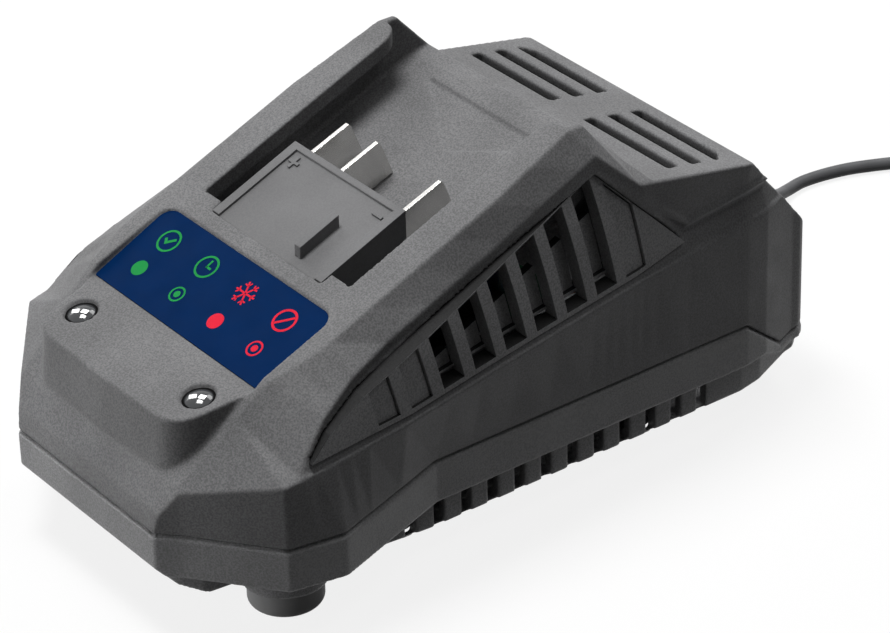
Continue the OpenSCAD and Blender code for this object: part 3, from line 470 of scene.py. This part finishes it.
# ---- lamps ----
# Millimetres, with the heights of a lamp's own parts counted from the pod top
LAMP_X = 24
LAMP_Y = 16.7
LAMP_Z = 55.7
POD_TILT = math.atan(0.1923)
DOME_RADIUS = 5.9
DOME_SINK = 5.65           # centre of the dome below the pod top
DOME_TOP = DOME_RADIUS - DOME_SINK
DOME_EDGE = 3.5
DOME_FOOT = -1.2
DOME_RINGS = 9
COLLAR_RADIUS = 4.1
COLLAR_TOP = -0.8
COLLAR_FOOT = -1
WELL_RADIUS = DOME_EDGE - 0.1
WELL_FOOT = -9
CHIP_SIZE = (1.7, 1.3)
CHIP_GAP = 1.15            # distance of a chip from the middle of the pair
CHIP_MIDDLE = (0.45, -0.35)
CHIP_TURN = math.radians(36)
CHIP_LEAN = math.radians(14)
CHIP_LIFT = 0.01
LATHE_SIDES = 64


def lathe(name, profile):
    """Closed solid turned from (radius, height) pairs, in millimetres, whose ends lie on the axis."""
    build = bmesh.new()
    rings = []
    for radius, height in profile:
        corners = 1 if radius == 0 else LATHE_SIDES
        turns = [2 * math.pi * k / LATHE_SIDES for k in range(corners)]
        rings.append([
            build.verts.new((radius * MM * math.cos(turn), radius * MM * math.sin(turn), height * MM))
            for turn in turns
        ])
    for low, high in zip(rings, rings[1:]):
        for k in range(LATHE_SIDES):
            after = (k + 1) % LATHE_SIDES
            around = [low[k % len(low)], low[after % len(low)], high[after % len(high)], high[k % len(high)]]
            build.faces.new(list(dict.fromkeys(around))).smooth = True
    bmesh.ops.recalc_face_normals(build, faces=build.faces)
    mesh = bpy.data.meshes.new(name)
    build.to_mesh(mesh)
    build.free()
    return mesh


def flat_mesh(name, outlines, height):
    """Flat faces that look up, from outlines of (x, y) points in millimetres."""
    build = bmesh.new()
    for outline in outlines:
        build.faces.new([build.verts.new((x * MM, y * MM, height * MM)) for x, y in outline])
    build.normal_update()
    for face in build.faces:
        if face.normal.z < 0:
            face.normal_flip()
    mesh = bpy.data.meshes.new(name)
    build.to_mesh(mesh)
    build.free()
    return mesh


def polar(radius, angle, centre=(0, 0)):
    return (centre[0] + radius * math.cos(angle), centre[1] + radius * math.sin(angle))


def turned_box(centre, size, angle):
    """Outline of a rectangle with the given middle, size and turn."""
    outline = []
    for sx, sy in ((-1, -1), (1, -1), (1, 1), (-1, 1)):
        x, y = sx * size[0] / 2, sy * size[1] / 2
        outline.append((
            centre[0] + x * math.cos(angle) - y * math.sin(angle),
            centre[1] + x * math.sin(angle) + y * math.cos(angle),
        ))
    return outline


def make_lamps(looks):
    """Each lamp is a low dome over a dark well with a collar, and shows the faces of two diodes, whose white
    glow is a painted highlight.
    """
    dome = [(0, DOME_TOP)]
    for ring_index in range(1, DOME_RINGS + 1):
        radius = DOME_EDGE * ring_index / DOME_RINGS
        dome.append((radius, math.sqrt(DOME_RADIUS ** 2 - radius ** 2) - DOME_SINK))
    dome += [(DOME_EDGE, DOME_FOOT), (0, DOME_FOOT)]
    well = [
        (0, COLLAR_TOP), (COLLAR_RADIUS, COLLAR_TOP), (COLLAR_RADIUS, COLLAR_FOOT),
        (WELL_RADIUS, COLLAR_FOOT), (WELL_RADIUS, WELL_FOOT), (0, WELL_FOOT),
    ]
    chips = [
        turned_box(polar(way * CHIP_GAP, CHIP_TURN, CHIP_MIDDLE), CHIP_SIZE, CHIP_TURN - way * CHIP_LEAN)
        for way in (-1, 1)
    ]
    for side, word in ((-1, "left"), (1, "right")):
        top = in_frame((side * LAMP_X, LAMP_Y, LAMP_Z))
        place = Matrix.Translation(top) @ Matrix.Rotation(POD_TILT, 4, "X")
        dome_mesh = lathe(word + "_lamp_dome", dome)
        own_piece(word + "_lamp_dome", dome_mesh, looks["lamp_lens"], place=place)
        well_mesh = lathe(word + "_lamp_well", well)
        own_piece(word + "_lamp_well", well_mesh, looks["lamp_well"], (word + "_lamp_lens",), place)
        chip_mesh = flat_mesh(word + "_lamp_chips", chips, DOME_TOP + CHIP_LIFT)
        own_piece(word + "_lamp_chips", chip_mesh, looks["lamp_chip"], place=place)


# ---- printed label ----
# Millimetres, along the label and up its slope from the middle of its front edge
LABEL_RISE = math.atan(0.4804)
LABEL_LENGTH = 24
PRINT_LIFT = 0.04
COLUMNS = (-24, -8.5, 7, 22.5)
SIGN_ROW = 16.8
DOT_ROW = 7.4
SIGN_RADIUS = 3.3
SIGN_LINE = 0.6
TICK = [(-1.75, 0.05), (-1.2, 0.6), (-0.4, -0.2), (1.3, 1.5), (1.85, 0.95), (-0.4, -1.3)]
LONG_HAND = 2.1
SHORT_HAND = 1.6
HAND_TAIL = 0.3
STOP_LINE = 0.65
STOP_REACH = 1.95
FLAKE_ARMS = 6
FLAKE_HUB = 0.2
FLAKE_RADIUS = 3.4
FLAKE_LINE = 0.5
TWIG_ROOT = 2.1
TWIG_LENGTH = 1.15
TWIG_LINE = 0.42
TWIG_LEAN = math.radians(52)
DOT_RADIUS = 2.2
DOT_LINE = 0.5
DOT_CORE = 0.42            # radius of the dot inside a ring, over that of the ring
CIRCLE_POINTS = 40


def circle(radius):
    return [polar(radius, 2 * math.pi * k / CIRCLE_POINTS) for k in range(CIRCLE_POINTS)]


def ring(radius, width):
    outer, inner = circle(radius), circle(radius - width)
    return [
        [outer[k], outer[(k + 1) % CIRCLE_POINTS], inner[(k + 1) % CIRCLE_POINTS], inner[k]]
        for k in range(CIRCLE_POINTS)
    ]


def bar(start, end, width):
    along = (end[0] - start[0], end[1] - start[1])
    centre = ((start[0] + end[0]) / 2, (start[1] + end[1]) / 2)
    return [turned_box(centre, (math.hypot(*along), width), math.atan2(along[1], along[0]))]


def moved(outlines, place):
    return [[(x + place[0], y + place[1]) for x, y in outline] for outline in outlines]


def tick():
    return ring(SIGN_RADIUS, SIGN_LINE) + [TICK]


def clock():
    hands = bar((0, -HAND_TAIL), (0, LONG_HAND), SIGN_LINE) + bar((-HAND_TAIL, 0), (SHORT_HAND, 0), SIGN_LINE)
    return ring(SIGN_RADIUS, SIGN_LINE) + hands


def snowflake():
    marks = []
    for k in range(FLAKE_ARMS):
        angle = math.radians(FULL_TURN * k / FLAKE_ARMS)
        root = polar(TWIG_ROOT, angle)
        marks += bar(polar(FLAKE_HUB, angle), polar(FLAKE_RADIUS, angle), FLAKE_LINE)
        for way in (-1, 1):
            marks += bar(root, polar(TWIG_LENGTH, angle + way * TWIG_LEAN, root), TWIG_LINE)
    return marks


def stop():
    return ring(SIGN_RADIUS, STOP_LINE) + bar((-STOP_REACH, -STOP_REACH), (STOP_REACH, STOP_REACH), STOP_LINE)


def plain_dot():
    return [circle(DOT_RADIUS)]


def ringed_dot():
    return ring(DOT_RADIUS, DOT_LINE) + [circle(DOT_RADIUS * DOT_CORE)]


def make_print(looks):
    """Generic signs over plain and ringed dots: full, charging, too cold or hot, and pack not usable."""
    low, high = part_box("status_label")
    top_front = Vector((0, low.y, high.z - LABEL_LENGTH * MM * math.sin(LABEL_RISE)))
    place = Matrix.Translation(top_front) @ Matrix.Rotation(LABEL_RISE, 4, "X")
    marks = {
        "green": ((tick(), plain_dot()), (clock(), ringed_dot())),
        "red": ((snowflake(), plain_dot()), (stop(), ringed_dot())),
    }
    columns = iter(COLUMNS)
    for colour, pairs in marks.items():
        outlines = []
        for sign, dot in pairs:
            x = next(columns)
            outlines += moved(sign, (x, SIGN_ROW)) + moved(dot, (x, DOT_ROW))
        name = "label_print_" + colour
        own_piece(name, flat_mesh(name, outlines, PRINT_LIFT), looks["print_" + colour], place=place)


# ---- light ----
# Places and sizes in metres
ROOM_STRENGTH = 0.03
HOUSING_MIDDLE = (0, 0, 0.04)
NOSE_FOOT = (0, -0.08, 0.02)
SOFTBOX_DISTANCE = 1.3
BOUNCE_DISTANCE = 0.24
SOFTBOX_SIZE = (0.6, 0.5)
TOP_SIZE = (0.4, 0.5)
RIGHT_TOP_SIZE = (0.3, 0.3)
BOUNCE_SIZE = (0.25, 0.03)
FLOOR_SIZE = 6
FLOOR_TONE = 0.86          # how pale the floor looks
FLOOR_BOUNCE = 0.08        # how much light it sends back up
FLOOR_GLOW = 0.85          # share of the floor's look that no shadow darkens


def seen_directly(tree):
    """A value that is 1 for rays from the camera, mirrors and clear parts, and 0 for all others."""
    path = tree.nodes.new("ShaderNodeLightPath")
    first = tree.nodes.new("ShaderNodeMath")
    first.operation = "MAXIMUM"
    second = tree.nodes.new("ShaderNodeMath")
    second.operation = "MAXIMUM"
    tree.links.new(path.outputs["Is Camera Ray"], first.inputs[0])
    tree.links.new(path.outputs["Is Glossy Ray"], first.inputs[1])
    tree.links.new(first.outputs[0], second.inputs[0])
    tree.links.new(path.outputs["Is Transmission Ray"], second.inputs[1])
    return second.outputs[0]


def make_world():
    """A white room that lights the object only a little."""
    world = bpy.data.worlds.new("studio")
    bpy.context.scene.world = world
    world.use_nodes = True
    tree = world.node_tree
    tree.nodes.clear()
    mix = tree.nodes.new("ShaderNodeMixShader")
    tree.links.new(seen_directly(tree), mix.inputs[0])
    for socket, strength in ((mix.inputs[1], ROOM_STRENGTH), (mix.inputs[2], 1)):
        room = tree.nodes.new("ShaderNodeBackground")
        room.inputs["Color"].default_value = (1, 1, 1, 1)
        room.inputs["Strength"].default_value = strength
        tree.links.new(room.outputs[0], socket)
    out = tree.nodes.new("ShaderNodeOutputWorld")
    tree.links.new(mix.outputs[0], out.inputs[0])


def area_light(
    name, azimuth, elevation, power,
    size=SOFTBOX_SIZE, distance=SOFTBOX_DISTANCE, target=HOUSING_MIDDLE, mirrored=True,
):
    """A lamp seen from the target at the given angles, counted from +x towards +y and up from the floor."""
    turn, rise = math.radians(azimuth), math.radians(elevation)
    way = Vector((math.cos(turn) * math.cos(rise), math.sin(turn) * math.cos(rise), math.sin(rise)))
    data = bpy.data.lights.new(name, "AREA")
    data.shape = "RECTANGLE"
    data.size, data.size_y = size
    data.energy = power
    light = bpy.data.objects.new(name, data)
    bpy.context.scene.collection.objects.link(light)
    light.location = Vector(target) + way * distance
    light.rotation_euler = (-way).to_track_quat("-Z", "Y").to_euler()
    light.visible_glossy = mirrored


def make_lights():
    area_light("top_softbox", 215, 78, 16, TOP_SIZE)
    area_light("right_top_softbox", 20, 64, 1.5, RIGHT_TOP_SIZE, mirrored=False)
    area_light("back_softbox", 110, 50, 5)
    area_light("front_left_softbox", 250, 20, 0.7)
    area_light("left_softbox", 180, 30, 2.5)
    area_light("low_bounce", 246, -4, 0.5, BOUNCE_SIZE, BOUNCE_DISTANCE, NOSE_FOOT)


def make_floor():
    mesh = bpy.data.meshes.new("floor")
    half = FLOOR_SIZE / 2
    corners = [(-half, -half, 0), (half, -half, 0), (half, half, 0), (-half, half, 0)]
    mesh.from_pydata(corners, [], [(0, 1, 2, 3)])
    floor = bpy.data.objects.new("floor", mesh)
    bpy.context.scene.collection.objects.link(floor)
    material, tree, surface = new_material("floor")
    seen = seen_directly(tree)
    tone = ranged(tree, seen, (0, 1), (FLOOR_BOUNCE, FLOOR_TONE))
    tree.links.new(tone, surface.inputs["Base Color"])
    surface.inputs["Roughness"].default_value = 0.9
    surface.inputs["Specular IOR Level"].default_value = 0
    glow = tree.nodes.new("ShaderNodeEmission")
    glow.inputs["Strength"].default_value = 1
    mix = tree.nodes.new("ShaderNodeMixShader")
    tree.links.new(ranged(tree, seen, (0, 1), (0, FLOOR_GLOW)), mix.inputs[0])
    tree.links.new(surface.outputs[0], mix.inputs[1])
    tree.links.new(glow.outputs[0], mix.inputs[2])
    tree.links.new(mix.outputs[0], tree.nodes["Material Output"].inputs[0])
    mesh.materials.append(material)


make_camera()
looks = make_materials()
dress_nodes(looks)
make_cord(looks["cord_sheath"])
moulded("top_shell_moulding", "top_shell", looks["shell_plastic"])
moulded("bottom_shell_moulding", "bottom_shell", looks["lower_plastic"])
make_lamps(looks)
make_print(looks)
make_world()
make_lights()
make_floor()
bpy.context.scene.view_settings.view_transform = "Standard"
